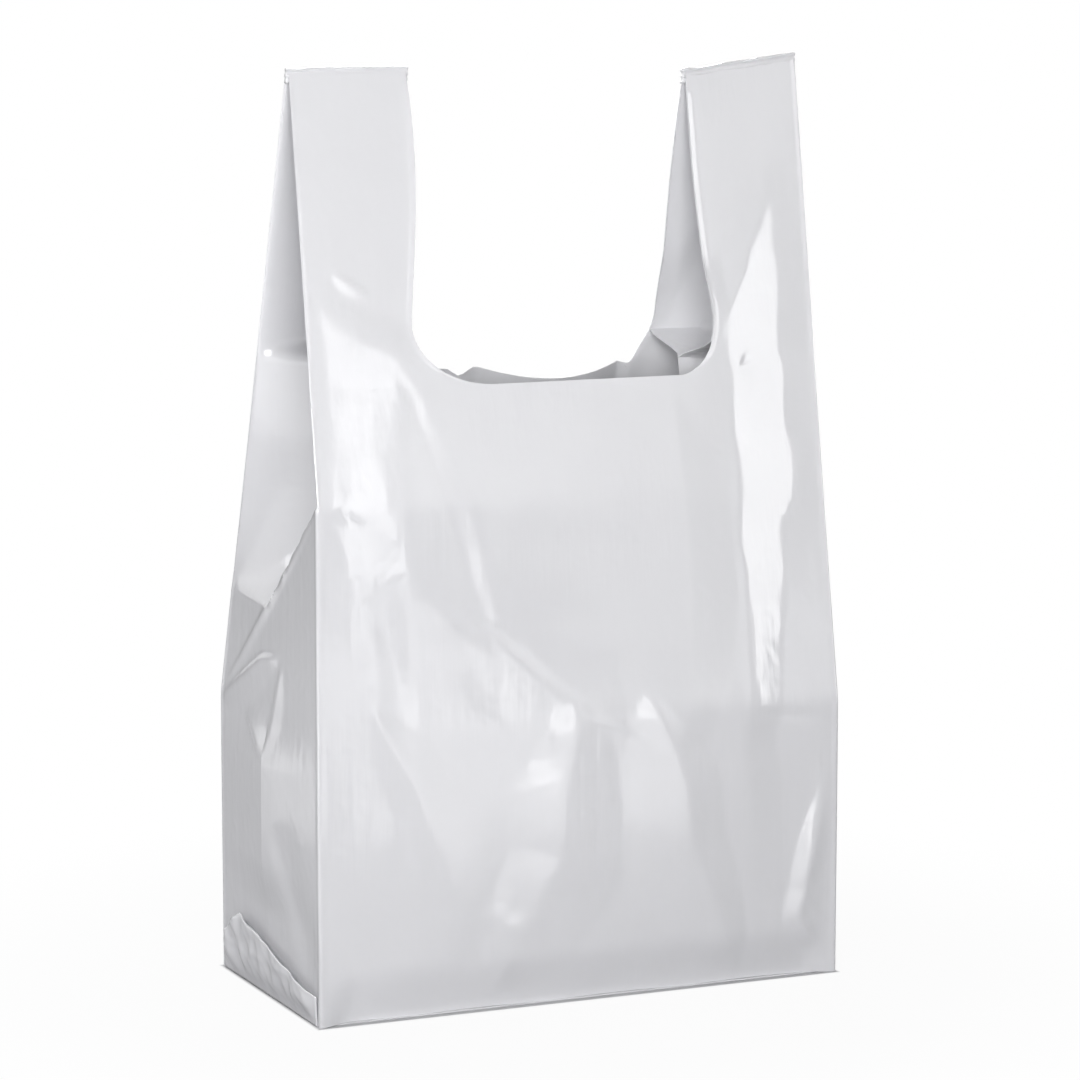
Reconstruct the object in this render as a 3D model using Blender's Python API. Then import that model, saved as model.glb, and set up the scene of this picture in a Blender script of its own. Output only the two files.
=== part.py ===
import bmesh
import bpy
import numpy as np
from math import acos, pi, sqrt

# White vest carrier bag standing open on its base, in metres.
# Frame: X across the front, front panel towards -Y, Z up, origin at the centre of the base.
# It is one gusseted tube of film, welded across the bottom and across the top of both handles.

# Overall sizes
BAG_WIDTH = 0.305
BAG_DEPTH = 0.150
BAG_HEIGHT = 0.500

# Film wall, and the pitch of the plies where a handle is folded flat
FILM = 0.00035
PLY_PITCH = 0.0007

# Die cut that makes the mouth and the handles, measured on the flat film
HANDLE_LENGTH = 0.172
HANDLE_WIDTH = 0.0678
HANDLE_WAIST = 0.0610
HANDLE_SWELL = 0.0045
MOUTH_CORNER_RUN = 0.0465
MOUTH_CORNER_RISE = 0.0306

# Welds, and the plies that lie folded on the base
SEAL_HEIGHT = 0.008
SEAL_SKIN = 0.00015
BOTTOM_SEAL_WIDTH = 0.008
BOTTOM_SEAL_RISE = 0.0008
END_FOLD_RISE = 0.0005
BASE_MARGIN = 0.003

# Each corner fold stands upright up to its kink, then leans in to a handle's seal.
# The front left one stands higher than the other three, so the left side creases aslant
KINK_LOW = 0.1545
KINK_HIGH = 0.277
SEAL_Y = -0.0056
LEFT_SEAL_SHIFT = 0.0113
RIGHT_SEAL_SHIFT = 0.0045
RIGHT_SEAL_TILT = 0.0080

# Sides: a ridge stands out below the inward fold, and the two halves part at the die cut
SIDE_RIDGE = 0.0044
RIDGE_FOOT = 0.045
RIDGE_FADE = 0.030
PARTING_REACH = 0.045

# Loose ear of the block bottom at each end, folded up against the side
EAR_FRONT_HEIGHT = 0.015
EAR_PEAK_HEIGHT = 0.038
EAR_BACK_HEIGHT = 0.013
EAR_PEAK_FROM_BACK = 0.030
EAR_END_MARGIN = 0.004
EAR_STAND_OFF = 0.0028
EAR_WALL = 0.0007
EAR_ROOT = 0.002
EAR_OPENING = 0.015

# Back edge of the mouth: slack film hangs between two raised points
SLACK_CENTRE = 0.025
SLACK_HALF_WIDTH = 0.043
SLACK_DROP = 0.007
SLACK_DEPTH = 0.012
SLACK_REACH = 0.080

# Soft folds of the large panels: path (across, up), how far each stands out, half width
FRONT_FOLDS = (
    (((-0.115, 0.300), (-0.113, 0.160)), 0.0035, 0.017),
    (((0.122, 0.300), (0.120, 0.165)), 0.0042, 0.018),
    (((0.128, 0.445), (0.124, 0.385)), 0.0030, 0.014),
    (((-0.078, 0.300), (-0.048, 0.200), (-0.003, 0.156), (0.059, 0.121)), -0.0026, 0.013),
    (((-0.006, 0.148), (-0.044, 0.086), (-0.050, 0.040)), 0.0024, 0.012),
    (((0.010, 0.145), (0.050, 0.105), (0.086, 0.034)), 0.0026, 0.014),
    (((-0.115, 0.146), (-0.078, 0.062), (-0.052, 0.040)), -0.0022, 0.011),
    (((0.098, 0.300), (0.092, 0.180), (0.088, 0.060)), -0.0020, 0.012),
)
BACK_FOLDS = (
    (((-0.118, 0.300), (-0.112, 0.180)), 0.0036, 0.017),
    (((0.117, 0.300), (0.112, 0.170)), 0.0036, 0.017),
    (((0.080, 0.295), (0.040, 0.190), (-0.030, 0.130)), -0.0025, 0.014),
    (((-0.080, 0.300), (-0.060, 0.190), (-0.020, 0.090)), -0.0022, 0.013),
    (((0.020, 0.130), (0.060, 0.070), (0.070, 0.030)), 0.0024, 0.013),
)
FOLD_FADE = 0.022

# How finely the film is divided
PANEL_COLUMNS = 7
MIDDLE_COLUMNS = 6
GUSSET_COLUMNS = 4
EAR_COLUMNS = 10
EAR_ROWS = 3
CORNER_ROWS = 3
ROW_STEP = 0.017

LEFT, RIGHT = -1, 1
FRONT, BACK = -1, 1
HALF_WIDTH = BAG_WIDTH / 2
HALF_DEPTH = BAG_DEPTH / 2
KINKS = {
    (LEFT, FRONT): KINK_HIGH,
    (RIGHT, FRONT): KINK_LOW,
    (LEFT, BACK): KINK_LOW,
    (RIGHT, BACK): KINK_LOW,
}
SEAL_SHIFT = {LEFT: LEFT_SEAL_SHIFT, RIGHT: RIGHT_SEAL_SHIFT}
SEAL_TILT = {LEFT: 0.0, RIGHT: RIGHT_SEAL_TILT}
PANEL_FOLDS = {FRONT: FRONT_FOLDS, BACK: BACK_FOLDS}

# Levels are heights along the film, from the base fold up
SHEET_TOP = sum(
    kink + sqrt((BAG_HEIGHT - kink) ** 2 + (HALF_DEPTH - face * SEAL_Y) ** 2)
    for (side, face), kink in KINKS.items()
) / len(KINKS)
SEAL_BOTTOM = SHEET_TOP - SEAL_HEIGHT
MOUTH_BOTTOM = SHEET_TOP - HANDLE_LENGTH
WAIST_LEVEL = MOUTH_BOTTOM + MOUTH_CORNER_RISE
MOUTH_HALF_FLAT = HALF_WIDTH - HANDLE_WAIST - MOUTH_CORNER_RUN

# From the middle of a handle's four plies to the centre of an outer one
SEAL_HALF_STACK = 1.5 * PLY_PITCH

# Points of two grids this near are one, and a fold above this angle, in radians, looks sharp
JOIN_REACH = PLY_PITCH / 50
SHARP_FOLD = 0.6

# The cut crosses the middle fold of each gusset at this angle round the mouth's corner
CUT_ACROSS = min(max((HALF_DEPTH - HANDLE_WAIST) / MOUTH_CORNER_RUN, 0), 1)
CUT_ANGLE = acos(sqrt(1 - (1 - CUT_ACROSS) ** 2))
CUT_LEVEL = MOUTH_BOTTOM + MOUTH_CORNER_RISE * (1 - np.cos(CUT_ANGLE))


def smooth(t):
    """Eases from 0 to 1 as t goes from 0 to 1."""
    t = np.clip(t, 0, 1)
    return t * t * (3 - 2 * t)


def handle_width(level):
    """Film between a side fold and the die cut: an elliptic corner, a waist, then a slight swell."""
    rise = np.clip((level - MOUTH_BOTTOM) / MOUTH_CORNER_RISE, 0, 1)
    corner = MOUTH_CORNER_RUN * (1 - np.sqrt(1 - (1 - rise) ** 2))
    up = np.clip((level - WAIST_LEVEL) / (SHEET_TOP - WAIST_LEVEL), 0, 1)
    widening = (HANDLE_WIDTH - HANDLE_WAIST) * smooth(up) + HANDLE_SWELL * np.sin(pi * up)
    return HANDLE_WAIST + corner + widening


def corner_fold(side, face, level):
    """Point of a corner fold: upright to its kink, then leaning in to the seal."""
    kink = KINKS[side, face]
    lean = np.clip((level - kink) / (SHEET_TOP - kink), 0, 1)
    seal_y = SEAL_Y + face * SEAL_HALF_STACK
    base_y = face * (HALF_DEPTH - FILM / 2)
    x = side * (HALF_WIDTH - FILM / 2) + lean * SEAL_SHIFT[side]
    y = base_y + lean * (seal_y - base_y)
    z = FILM / 2 + np.minimum(level, kink) + lean * (BAG_HEIGHT - kink - FILM / 2)
    return np.stack([x, y, z], -1)


def seal_tilt(side, from_fold, level):
    """Height that a handle gains towards its outer fold where its seal runs uphill."""
    over_mouth = smooth((level - MOUTH_BOTTOM) / (SEAL_BOTTOM - MOUTH_BOTTOM))
    return SEAL_TILT[side] * (0.5 - from_fold / HANDLE_WIDTH) * over_mouth


def distance_to_path(x, z, path):
    """Distance within the panel to a path of straight stretches."""
    nearest = np.inf
    for (x0, z0), (x1, z1) in zip(path, path[1:]):
        run, climb = x1 - x0, z1 - z0
        along = np.clip(((x - x0) * run + (z - z0) * climb) / (run**2 + climb**2), 0, 1)
        nearest = np.minimum(nearest, np.hypot(x - x0 - along * run, z - z0 - along * climb))
    return nearest


def panel_lift(face, across, level):
    """How far the soft folds push a panel out: a bell across each path, none along the panel's edges."""
    edge = np.minimum(HALF_WIDTH - np.abs(across), np.minimum(level, SEAL_BOTTOM - level))
    lift = 0
    for path, height, half_width in PANEL_FOLDS[face]:
        lift = lift + height * np.exp(-((distance_to_path(across, level, path) / half_width) ** 2))
    clear_of_gusset = np.where(level > MOUTH_BOTTOM, np.maximum(lift, 0), lift)
    return clear_of_gusset * smooth(edge / FOLD_FADE)


def panel_point(face, across, level):
    """Point of the front or back panel: a straight line between its corner folds, plus soft folds."""
    left = corner_fold(LEFT, face, level)
    right = corner_fold(RIGHT, face, level)
    point = left + (right - left) * ((across + HALF_WIDTH) / BAG_WIDTH)[..., None]
    lift = panel_lift(face, across, level)
    if face == BACK:
        slack = np.clip(1 - ((across - SLACK_CENTRE) / SLACK_HALF_WIDTH) ** 2, 0, 1)
        slack = slack * smooth(1 - (MOUTH_BOTTOM - level) / SLACK_REACH)
        lift = lift - SLACK_DEPTH * slack
        point[..., 2] -= SLACK_DROP * slack
    point[..., 1] += face * lift
    for side in (LEFT, RIGHT):
        tilt = seal_tilt(side, HALF_WIDTH - side * across, level)
        point[..., 2] += np.where(side * across > 0, tilt, 0)
    return point


def side_point(side, across, level):
    """Point of a side panel, across from its front fold towards its back fold.

    Below the crease that joins the two kinks the panel stands flat, with a faint ridge.
    Above it the film turns inwards in a V whose point is the panel's middle fold.
    Above the die cut the V is open at its point, and each half comes to lie along its own panel.
    """
    front = corner_fold(side, FRONT, level)
    back = corner_fold(side, BACK, level)
    front_kink, back_kink = KINKS[side, FRONT], KINKS[side, BACK]
    flat = np.clip((max(front_kink, back_kink) - level) / (abs(front_kink - back_kink) or FILM), 0, 1)
    flat = np.where(flat > 0, PLY_PITCH + (BAG_DEPTH - 2 * PLY_PITCH) * flat, 0)
    start, end = (flat, BAG_DEPTH) if front_kink >= back_kink else (0, BAG_DEPTH - flat)
    valley = np.clip(HALF_DEPTH, start, end)
    chord = np.maximum(back[..., 1] - front[..., 1] - (start + BAG_DEPTH - end), FILM)
    before, after = valley - start, end - valley
    foot = np.clip((before**2 - after**2 + chord**2) / (2 * chord), 0, chord)
    depth = np.sqrt(np.clip(before**2 - foot**2, 0, None))

    to_valley = np.clip((across - start) / np.maximum(before, FILM), 0, 1)
    past_valley = np.clip((across - valley) / np.maximum(after, FILM), 0, 1)
    y = front[..., 1] + np.minimum(across, start) + foot * to_valley
    y = y + (chord - foot) * past_valley + np.maximum(across - end, 0)
    from_fold = np.minimum(across, BAG_DEPTH - across)
    below_kinks = min(front_kink, back_kink) - level
    ridge = smooth((level - RIDGE_FOOT) / RIDGE_FADE) * smooth(below_kinks / RIDGE_FADE)
    ridge = SIDE_RIDGE * ridge * from_fold / HALF_DEPTH
    folded = front + (back - front) * (across / BAG_DEPTH)[..., None]
    folded[..., 0] += side * (ridge - depth * to_valley * (1 - past_valley))
    folded[..., 1] = y
    folded[..., 2] += seal_tilt(side, from_fold, level)

    behind_panel = [panel_point(face, side * (HALF_WIDTH - from_fold), level) for face in (FRONT, BACK)]
    behind_panel = np.where((across <= HALF_DEPTH)[..., None], *behind_panel)
    behind_panel[..., 1] += np.where(across <= HALF_DEPTH, PLY_PITCH, -PLY_PITCH)
    parted = smooth((level - CUT_LEVEL) / PARTING_REACH)[..., None]
    return folded + (behind_panel - folded) * parted


def film_levels():
    """Levels of the film's rows: even steps between the levels where its outline or folds change.

    Between the kinks there is a row for each column of a side, so the slanting crease meets the grid.
    """
    low, high = sorted(KINKS.values())[:: len(KINKS) - 1]
    below = np.linspace(0, low, max(1, round(low / ROW_STEP)) + 1)[:-1]
    aslant = np.linspace(low, high, 2 * GUSSET_COLUMNS + 1)[:-1]
    steps = max(1, round((MOUTH_BOTTOM - high) / ROW_STEP))
    above = np.linspace(high, MOUTH_BOTTOM, steps + 1)[:-1]
    before_cut = np.linspace(0, CUT_ANGLE, CORNER_ROWS + 1)
    after_cut = np.linspace(CUT_ANGLE, pi / 2, CORNER_ROWS + 1)[1:]
    angles = np.concatenate([before_cut, after_cut])
    corner = MOUTH_BOTTOM + MOUTH_CORNER_RISE * (1 - np.cos(angles))
    steps = max(1, round((SEAL_BOTTOM - WAIST_LEVEL) / ROW_STEP))
    upper = np.linspace(WAIST_LEVEL, SEAL_BOTTOM, steps + 1)[1:]
    return np.concatenate([below, aslant, above, corner, upper, [SEAL_BOTTOM + SEAL_HEIGHT / 2]])


def quarter_points(side, face, levels):
    """Grid from the die cut across a panel, round the corner fold, in to the gusset's middle fold."""
    level = levels[:, None]
    width = handle_width(level)
    share = np.linspace(1, 0, PANEL_COLUMNS + 1)
    from_fold = PLY_PITCH + (width - PLY_PITCH) * share
    panel = panel_point(face, side * (HALF_WIDTH - from_fold), level + 0 * share)
    tip = corner_fold(side, face, levels)
    inset = PLY_PITCH * (1 - sqrt(0.5))
    tip += np.array([-side * inset, -face * inset, 0])
    tip[:, 2] += seal_tilt(side, 0, levels)
    share = np.linspace(0, 1, GUSSET_COLUMNS + 1)
    from_fold = PLY_PITCH + (np.minimum(width, HALF_DEPTH) - PLY_PITCH) * share
    across = from_fold if face == FRONT else BAG_DEPTH - from_fold
    gusset = side_point(side, across, level + 0 * share)
    return np.concatenate([panel, tip[:, None], gusset], 1)


def middle_points(face, levels):
    """Grid of a panel's middle, below the straight part of the mouth's edge."""
    across = np.linspace(-MOUTH_HALF_FLAT, MOUTH_HALF_FLAT, MIDDLE_COLUMNS + 1)
    level = levels[levels < MOUTH_BOTTOM + FILM][:, None]
    return panel_point(face, across + 0 * level, level + 0 * across)


def grid_faces(rows, columns, first, rising=True):
    """Two triangles for each cell of a grid numbered row by row, split where the diagonal rises or falls."""
    a = (first + np.arange(rows - 1)[:, None] * columns + np.arange(columns - 1)).ravel()
    b, c, d = a + 1, a + columns + 1, a + columns
    halves = ((a, b, c), (a, c, d)) if rising else ((a, b, d), (b, c, d))
    return np.concatenate([np.stack(half, -1) for half in halves])


def new_object(name, points, faces):
    mesh = bpy.data.meshes.new(name)
    mesh.from_pydata(np.asarray(points, float).tolist(), [], [list(map(int, face)) for face in faces])
    made = bpy.data.objects.new(name, mesh)
    bpy.context.scene.collection.objects.link(made)
    return made


def add_wall(film, thickness, offset):
    wall = film.modifiers.new("wall", "SOLIDIFY")
    wall.thickness = thickness
    wall.offset = offset
    wall.use_even_offset = True


def film_object():
    """The tube of film: its grids joined edge to edge, its base filled in, and its wall added."""
    levels = film_levels()
    points, faces = np.empty((0, 3)), np.empty((0, 3), int)
    for face in (FRONT, BACK):
        for grid in (
            quarter_points(LEFT, face, levels),
            middle_points(face, levels),
            quarter_points(RIGHT, face, levels),
        ):
            new_faces = grid_faces(*grid.shape[:2], len(points), rising=face == BACK)
            faces = np.concatenate([faces, new_faces])
            points = np.concatenate([points, grid.reshape(-1, 3)])
    bag = new_object("bag", points, faces)

    mesh = bmesh.new()
    mesh.from_mesh(bag.data)
    bmesh.ops.remove_doubles(mesh, verts=mesh.verts, dist=JOIN_REACH)
    rim = [edge for edge in mesh.edges if edge.is_boundary and edge.verts[0].co.z < FILM]
    rim = [edge for edge in rim if edge.verts[1].co.z < FILM]
    bmesh.ops.contextual_create(mesh, geom=rim)
    bmesh.ops.recalc_face_normals(mesh, faces=mesh.faces)
    mesh.to_mesh(bag.data)
    mesh.free()
    add_wall(bag, FILM, 0)
    return bag


def between_loops(name, lower, upper):
    """Closed solid between two loops of as many points."""
    count = len(lower)
    sides = [(i, (i + 1) % count, count + (i + 1) % count, count + i) for i in range(count)]
    ends = [range(count - 1, -1, -1), range(count, 2 * count)]
    return new_object(name, [*lower, *upper], [*ends, *sides])


def handle_seal(side):
    """Weld across the top of a handle, where its four plies become one thickness."""
    half = SEAL_HALF_STACK + FILM / 2 + SEAL_SKIN
    loops = []
    for level in (SEAL_BOTTOM, SHEET_TOP):
        fold = corner_fold(side, FRONT, level)
        loop = []
        for from_fold, y in ((0, -half), (1, -half), (1, half), (0, half)):
            from_fold = from_fold * (HANDLE_WIDTH + FILM + SEAL_SKIN) - FILM / 2 - SEAL_SKIN
            tilt = seal_tilt(side, from_fold, level)
            loop.append((fold[0] - side * from_fold, SEAL_Y + y, fold[2] + tilt))
        loops.append(loop if side == LEFT else loop[::-1])
    return between_loops("handle seal", *loops)


def base_ply(name, outline, rise):
    """Extra film that lies inside on the base and is one with it."""
    bottom = [(x, y, FILM / 2) for x, y in outline]
    top = [(x, y, FILM + rise) for x, y in outline]
    return between_loops(name, bottom, top)


def base_plies():
    """The weld across the middle of the base, and the gusset's triangle folded flat at each end."""
    x, y = HALF_WIDTH - BASE_MARGIN, BOTTOM_SEAL_WIDTH / 2
    weld = base_ply("bottom seal", [(-x, -y), (x, -y), (x, y), (-x, y)], BOTTOM_SEAL_RISE)
    reach = HALF_DEPTH - BASE_MARGIN
    right = [(x, -reach), (x, reach), (x - reach, 0)]
    left = [(-across, up) for across, up in right[::-1]]
    ends = [base_ply("end fold", outline, END_FOLD_RISE) for outline in (left, right)]
    return [weld, *ends]


def end_ear(side):
    """Loose ear of film at one end, rooted along the base and standing a little off the side."""
    across = np.linspace(EAR_END_MARGIN, BAG_DEPTH - EAR_END_MARGIN, EAR_COLUMNS + 1)
    peak = BAG_DEPTH - EAR_PEAK_FROM_BACK
    front_rise = EAR_FRONT_HEIGHT + (EAR_PEAK_HEIGHT - EAR_FRONT_HEIGHT) * across / peak
    back_share = np.clip((BAG_DEPTH - across) / EAR_PEAK_FROM_BACK, 0, 1)
    back_rise = sqrt_rise(back_share) * (EAR_PEAK_HEIGHT - EAR_BACK_HEIGHT) + EAR_BACK_HEIGHT
    height = np.minimum(front_rise, back_rise)
    share = np.linspace(0, 1, EAR_ROWS + 1)[:, None]
    level = FILM + (height - FILM) * share
    across = across + 0 * share
    from_fold = np.minimum(across, BAG_DEPTH - across)
    stand_off = smooth((level - EAR_ROOT) / EAR_OPENING) * smooth(from_fold / EAR_OPENING)
    points = side_point(side, across, level)
    points[..., 0] += side * (EAR_STAND_OFF * stand_off - FILM / 4)
    faces = grid_faces(*across.shape, 0)
    ear = new_object("end ear", points.reshape(-1, 3), faces if side == RIGHT else faces[:, ::-1])
    add_wall(ear, EAR_WALL, 1)
    return ear


def sqrt_rise(t):
    """Quarter of an ellipse: steep at first, level at t = 1."""
    return np.sqrt(1 - (1 - t) ** 2)


def join_pieces(bag, pieces):
    """Makes the pieces one body with the film."""
    for piece in pieces:
        piece.hide_render = True
        piece.display_type = "WIRE"
        union = bag.modifiers.new(piece.name, "BOOLEAN")
        union.operation = "UNION"
        union.object = piece


def film_material():
    """Glossy white polyethylene film."""
    film = bpy.data.materials.new("white film")
    film.use_nodes = True
    shader = film.node_tree.nodes["Principled BSDF"]
    shader.inputs["Base Color"].default_value = (0.72, 0.72, 0.75, 1)
    shader.inputs["Roughness"].default_value = 0.25
    shader.inputs["Metallic"].default_value = 0
    return film


for old in list(bpy.data.objects):
    bpy.data.objects.remove(old)

bag = film_object()
seals = [handle_seal(side) for side in (LEFT, RIGHT)]
ears = [end_ear(side) for side in (LEFT, RIGHT)]
join_pieces(bag, [*seals, *ears, *base_plies()])
bag.data.materials.append(film_material())
bag.data.shade_smooth()
bag.data.set_sharp_from_angle(angle=SHARP_FOLD)
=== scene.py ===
import bmesh
import bpy
import numpy as np
from math import acos, cos, hypot, pi, radians, sin, sqrt
from mathutils import Matrix, Vector


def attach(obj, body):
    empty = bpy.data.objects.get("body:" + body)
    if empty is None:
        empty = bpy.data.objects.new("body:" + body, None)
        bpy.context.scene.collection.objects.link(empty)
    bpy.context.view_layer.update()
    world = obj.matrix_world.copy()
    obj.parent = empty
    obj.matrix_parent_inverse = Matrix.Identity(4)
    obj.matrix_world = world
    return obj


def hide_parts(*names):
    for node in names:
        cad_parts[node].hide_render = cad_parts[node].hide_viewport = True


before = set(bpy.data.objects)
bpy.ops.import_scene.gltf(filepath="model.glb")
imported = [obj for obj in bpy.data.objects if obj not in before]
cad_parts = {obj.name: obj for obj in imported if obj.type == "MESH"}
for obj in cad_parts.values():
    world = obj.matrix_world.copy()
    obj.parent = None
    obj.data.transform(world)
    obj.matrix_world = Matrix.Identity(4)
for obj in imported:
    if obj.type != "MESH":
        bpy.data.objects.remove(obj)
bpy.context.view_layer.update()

# White vest carrier bag, standing open on its base. Metres, Z up, front panel towards -Y.
left, right = -1, 1
front, back = -1, 1

# Sizes of the film tube, the same as the frame's
bag = {
    "width": 0.305,
    "depth": 0.150,
    "height": 0.500,
    "film": 0.00035,
    "plyPitch": 0.0007,      # between the plies where a handle is folded flat
    "foldRadius": 0.0028,    # how tightly the corner folds turn
    "kinkLow": 0.1545,       # where a corner fold starts to lean in to its handle
    "kinkHigh": 0.277,       # the front left fold stands higher than the rest
    "kinkBend": 0.006,       # half the length of the bend at a kink
    "bead": 0.0013,          # the creased corner folds stand proud by this
    "hemGap": 0.0006,        # the bottom edge of a panel hangs this far above the floor
    "sealY": -0.0056,
    "sealShift": {left: 0.0113, right: 0.0045},
    "sealTilt": {left: 0.0, right: 0.0080},
}

# The die cut, measured on the flat film
cut = {
    "handleLength": 0.172,
    "handleWidth": 0.0678,
    "handleWaist": {left: 0.0610, right: 0.0645},
    "handleSwell": {left: 0.0045, right: 0.0015},
    "cornerRun": {left: 0.0465, right: 0.0240},    # the mouth's right corner is the tighter one
    "cornerRise": 0.0306,
}

halfWidth = bag["width"] / 2
halfDepth = bag["depth"] / 2
kinks = {
    (left, front): bag["kinkHigh"],
    (right, front): bag["kinkLow"],
    (left, back): bag["kinkLow"],
    (right, back): bag["kinkLow"],
}
sealHeight = 0.008
sheetTop = sum(
    kink + sqrt((bag["height"] - kink) ** 2 + (halfDepth - face * bag["sealY"]) ** 2)
    for (side, face), kink in kinks.items()
) / len(kinks)
sealBottom = sheetTop - sealHeight
mouthBottom = sheetTop - cut["handleLength"]
waistLevel = mouthBottom + cut["cornerRise"]
mouthFlat, cutAngle, cutLevel = {}, {}, {}
for side in (left, right):
    mouthFlat[side] = side * (halfWidth - cut["handleWaist"][side] - cut["cornerRun"][side])
    cutAcross = (halfDepth - cut["handleWaist"][side]) / cut["cornerRun"][side]
    cutAngle[side] = acos(sqrt(1 - (1 - cutAcross) ** 2))     # where the cut crosses the gusset's middle fold
    cutLevel[side] = mouthBottom + cut["cornerRise"] * (1 - cos(cutAngle[side]))
sealHalfStack = 1.5 * bag["plyPitch"]


def ease(t):
    # 0 to 1 with level ends: 3t^2 - 2t^3
    t = np.clip(t, 0, 1)
    return t * t * (3 - 2 * t)


def bend(t, reach):
    # max(t, 0) with its corner rounded over +-reach by a parabola
    return np.where(t > reach, t, np.where(t < -reach, 0, (t + reach) ** 2 / (4 * reach)))


# Outline of the film

def handleWidth(side, level):
    # film between a side fold and the cut: elliptic corner, waist, slight swell towards the seal
    rise = np.clip((level - mouthBottom) / cut["cornerRise"], 0, 1)
    corner = cut["cornerRun"][side] * (1 - np.sqrt(1 - (1 - rise) ** 2))
    up = np.clip((level - waistLevel) / (sheetTop - waistLevel), 0, 1)
    waist = cut["handleWaist"][side]
    widening = (cut["handleWidth"] - waist) * ease(up) + cut["handleSwell"][side] * np.sin(pi * up)
    return waist + corner + widening


def cornerFold(side, face, level):
    # upright to its kink, then a straight lean in to the seal, with the kink's corner rounded
    kink = kinks[side, face]
    lean = np.minimum(bend(level - kink, bag["kinkBend"]) / (sheetTop - kink), 1)
    sealY = bag["sealY"] + face * sealHalfStack
    baseY = face * (halfDepth - bag["film"] / 2)
    x = side * (halfWidth - bag["film"] / 2) + lean * bag["sealShift"][side]
    y = baseY + lean * (sealY - baseY)
    z = bag["film"] / 2 + level - lean * (sheetTop - bag["height"] + bag["film"] / 2)
    return np.stack([x, y, z], -1)


def sealTilt(side, fromFold, level):
    # the right handle's seal stands aslant, higher at the corner fold; the tilt grows from the mouth up
    overMouth = ease((level - mouthBottom) / (sealBottom - mouthBottom))
    return bag["sealTilt"][side] * (0.5 - fromFold / cut["handleWidth"]) * overMouth


# Folds of the panels, each a path (across, up), its height, its reach to the left of the path
# and to its right, and 1 for a sharp crest
panelFolds = {
    front: [
        (((-0.108, 0.362), (-0.050, 0.190)), -0.0013, 0.012, 0.034, 1),
        (((-0.072, 0.220), (-0.003, 0.157), (0.052, 0.128)), 0.0012, 0.008, 0.030, 1),
        (((-0.002, 0.172), (-0.015, 0.113), (-0.015, 0.080), (-0.058, 0.000)), 0.0031, 0.040, 0.028, 1),
        (((0.036, 0.168), (0.060, 0.112), (0.062, 0.080), (0.096, 0.000)), 0.0034, 0.022, 0.040, 1),
        (((-0.124, 0.172), (-0.096, 0.118), (-0.078, 0.070), (-0.040, 0.004)), 0.0022, 0.030, 0.018, 1),
        (((-0.143, 0.274), (-0.130, 0.266)), -0.0008, 0.004, 0.003, 1),
        (((0.098, 0.150), (0.151, 0.143)), -0.0004, 0.004, 0.004, 1),
        (((0.152, 0.126), (0.128, 0.034), (0.153, 0.000)), 0.0034, 0.022, 0.010, 1),
        (((0.134, 0.040), (0.146, 0.030), (0.154, 0.046)), 0.0012, 0.005, 0.006, 1),
        (((0.104, 0.340), (0.120, 0.366), (0.142, 0.380)), -0.0036, 0.006, 0.012, 1),
        (((0.015, 0.335), (0.020, 0.190)), -0.0014, 0.060, 0.060, 0),
        (((0.060, 0.330), (0.064, 0.200), (0.058, 0.116)), 0.0017, 0.030, 0.050, 1),
        (((-0.136, 0.400), (-0.112, 0.384)), 0.0012, 0.005, 0.008, 1),
        (((-0.128, 0.262), (-0.118, 0.190), (-0.121, 0.140)), 0.0007, 0.005, 0.010, 0),
    ],
    back: [
        (((0.080, 0.295), (0.040, 0.190), (-0.030, 0.130)), -0.0016, 0.014, 0.014, 0),
        (((-0.080, 0.300), (-0.060, 0.190), (-0.020, 0.090)), -0.0014, 0.013, 0.013, 0),
        (((0.020, 0.130), (0.060, 0.070), (0.070, 0.030)), 0.0018, 0.013, 0.013, 0),
        (((0.120, 0.160), (0.060, 0.118), (0.010, 0.105)), 0.0014, 0.004, 0.018, 1),
        (((-0.100, 0.190), (-0.060, 0.110), (-0.050, 0.040)), 0.0013, 0.016, 0.004, 1),
        (((0.085, 0.330), (0.040, 0.190), (-0.030, 0.130)), 0.0014, 0.005, 0.020, 1),
    ],
}
# Where handling has crumpled the film: (across, up), reach, height and size of the crumples
crumplePatches = {
    front: [
        ((-0.118, 0.356), 0.024, 0.0021, 0.010),
        ((-0.128, 0.272), 0.014, 0.0009, 0.007),
        ((0.116, 0.362), 0.024, 0.0032, 0.012),
        ((0.144, 0.045), 0.016, 0.0022, 0.009),
        ((-0.136, 0.030), 0.016, 0.0010, 0.008),
        ((-0.052, 0.034), 0.022, 0.0022, 0.012),
    ],
    back: [
        ((0.118, 0.372), 0.024, 0.0014, 0.009),
        ((-0.125, 0.060), 0.024, 0.0014, 0.009),
    ],
}
# Air in the bag bellies each panel out: a flank along each corner fold, with a flat middle
belly = {
    "startRight": 0.022,    # flat film beside the right fold, before its flank starts
    "narrows": 0.013,       # towards its foot the right flank starts this much farther in
    "narrowsMore": 1.1,     # and loses this many times as much of its width
    "narrowsFrom": 0.300,
    "ripple": 0.0050,       # where a flank starts wanders with the height, by a part of this
    "startLeft": 0.010,
    "flankLeft": 0.041,
    "flankRight": 0.034,
    "slopeLeft": 0.115,
    "slopeRight": 0.150,
    "turn": 0.003,          # half the width of the rounded bend between flank and middle
    "creaseTop": 0.277,     # the left flank ends below in a crease that crosses it aslant
    "creaseFoot": 0.165,
    "foot": 0.150,          # grows from the base up to this level
    "topLeft": 0.396,       # film levels above which each flank has died out
    "leftSlant": 0.4,       # the left flank's upper end falls by this much for each metre away from the fold
    "leftSlantReach": 0.055,
    "topRight": 0.462,
    "topSlant": 1.6,        # the right flank's upper end falls by this much for each metre away from the fold
    "topReach": 0.040,      # each flank dies out over this, the left one over a shorter stretch
    "topReachLeft": 0.024,
    "hem": 0.0058,          # the lowest strip turns under by this
    "hemReach": 0.030,
}
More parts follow.
